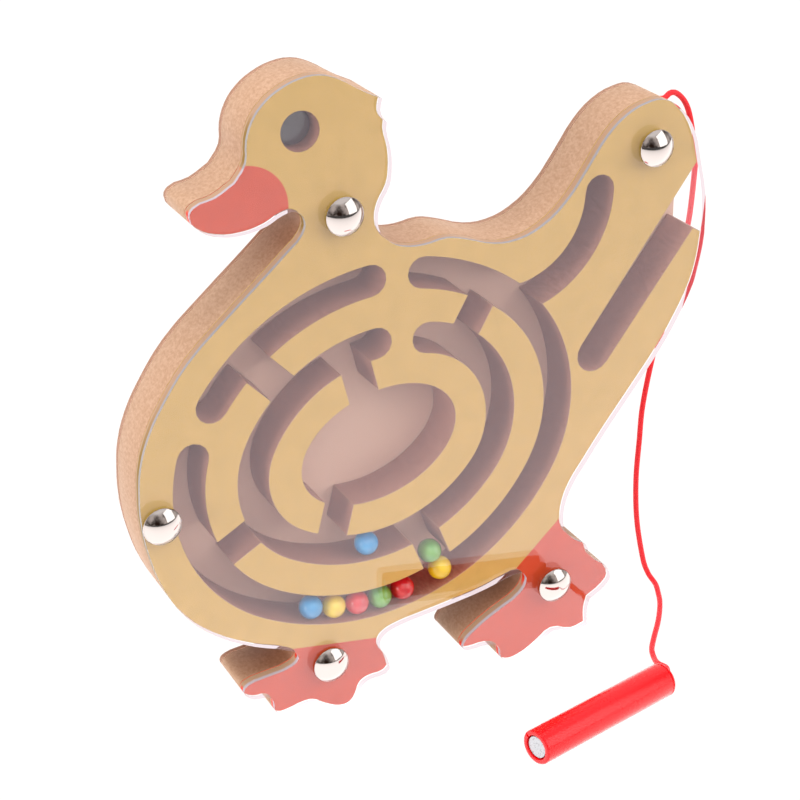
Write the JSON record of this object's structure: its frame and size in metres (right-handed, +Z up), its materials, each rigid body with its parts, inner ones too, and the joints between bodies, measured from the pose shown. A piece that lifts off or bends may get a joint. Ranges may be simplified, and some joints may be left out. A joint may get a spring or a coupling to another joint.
{
  "type": "magnetic maze board",
  "caption": "Wooden duck-shaped magnetic maze board with ring grooves, coloured balls under a clear riveted cover and a red magnet pen on a cord.",
  "frame": {"origin": "middle of the whole part's footprint on the table, without the cord", "axes": "+X towards the duck's tail, +Y from the clear front cover to the back sheet, +Z up"},
  "size_m": [0.1561, 0.0639, 0.1612],
  "materials": {
    "board_painted": "fibreboard, front face printed tan with red feet and beak",
    "back_board": "thin stained hardboard",
    "clear_cover": "clear acrylic, gloss",
    "cap_metal": "polished",
    "ball_blue": "gloss paint",
    "ball_yellow": "gloss paint",
    "ball_red": "gloss paint",
    "ball_green": "gloss paint",
    "pen_red": "gloss",
    "eye_black": "gloss",
    "magnet_metal": "plated",
    "cord_red": "braided"
  },
  "bodies": {
    "board": {"duck_body": "board_painted", "maze_wall_bottom": "board_painted", "maze_wall_right": "board_painted", "maze_wall_inner": "board_painted", "back_sheet": "back_board", "front_cover": "clear_cover", "eye_plug": "eye_black", "rivet_neck_front": "cap_metal", "rivet_neck_back": "cap_metal", "rivet_tail_front": "cap_metal", "rivet_tail_back": "cap_metal", "rivet_breast_front": "cap_metal", "rivet_breast_back": "cap_metal", "rivet_left_foot_front": "cap_metal", "rivet_left_foot_back": "cap_metal", "rivet_right_foot_front": "cap_metal", "rivet_right_foot_back": "cap_metal", "cord_loop": "cord_red", "pen_cord": "cord_red"},
    "pen": {"pen_barrel": "pen_red", "pen_plug": "pen_red", "pen_magnet": "magnet_metal"},
    "row_1": {"ball_row_1_blue": "ball_blue"},
    "row_2": {"ball_row_2_yellow": "ball_yellow"},
    "row_3": {"ball_row_3_red": "ball_red"},
    "row_4": {"ball_row_4_green": "ball_green"},
    "row_5": {"ball_row_5_red": "ball_red"},
    "low_yellow": {"ball_low_yellow": "ball_yellow"},
    "inner_blue": {"ball_inner_blue": "ball_blue"},
    "gate_green": {"ball_gate_green": "ball_green"}
  },
  "joints": [
    {"name": "row_1_roll", "type": "hinge", "parent": "board", "child": "row_1", "pos_m": [-0.01635, 0.01925, 0.08012], "axis": [0, -1, 0], "range_deg": [-13.5, 4.5]},
    {"name": "row_2_roll", "type": "hinge", "parent": "board", "child": "row_2", "pos_m": [-0.01635, 0.01925, 0.08012], "axis": [0, -1, 0], "range_deg": [-13.5, 4.5]},
    {"name": "row_3_roll", "type": "hinge", "parent": "board", "child": "row_3", "pos_m": [-0.01635, 0.01925, 0.08012], "axis": [0, -1, 0], "range_deg": [-13.5, 4.5]},
    {"name": "row_4_roll", "type": "hinge", "parent": "board", "child": "row_4", "pos_m": [-0.01635, 0.01925, 0.08012], "axis": [0, -1, 0], "range_deg": [-13.5, 4.5]},
    {"name": "row_5_roll", "type": "hinge", "parent": "board", "child": "row_5", "pos_m": [-0.01635, 0.01925, 0.08012], "axis": [0, -1, 0], "range_deg": [-13.5, 4.5]},
    {"name": "low_yellow_roll", "type": "hinge", "parent": "board", "child": "low_yellow", "pos_m": [-0.01635, 0.01925, 0.08012], "axis": [0, -1, 0], "range_deg": [0, 33]},
    {"name": "inner_blue_roll", "type": "hinge", "parent": "board", "child": "inner_blue", "pos_m": [-0.01617, 0.01925, 0.08115], "axis": [0, -1, 0], "range_deg": [-29, 50]},
    {"name": "gate_green_slide", "type": "slide", "parent": "board", "child": "gate_green", "axis": [-0.3662, 0, 0.9305], "range_m": [0, 0.0098]},
    {"name": "pen_roll", "type": "hinge", "parent": "board", "child": "pen", "pos_m": [0.04845, -0.01665, 0.00435], "axis": [0.9686, 0.2487, 0], "continuous": true}
  ],
  "couplings": [
    {"joint": "row_2_roll", "follows": "row_1_roll", "ratio": 1},
    {"joint": "row_3_roll", "follows": "row_1_roll", "ratio": 1},
    {"joint": "row_4_roll", "follows": "row_1_roll", "ratio": 1},
    {"joint": "row_5_roll", "follows": "row_1_roll", "ratio": 1}
  ]
}
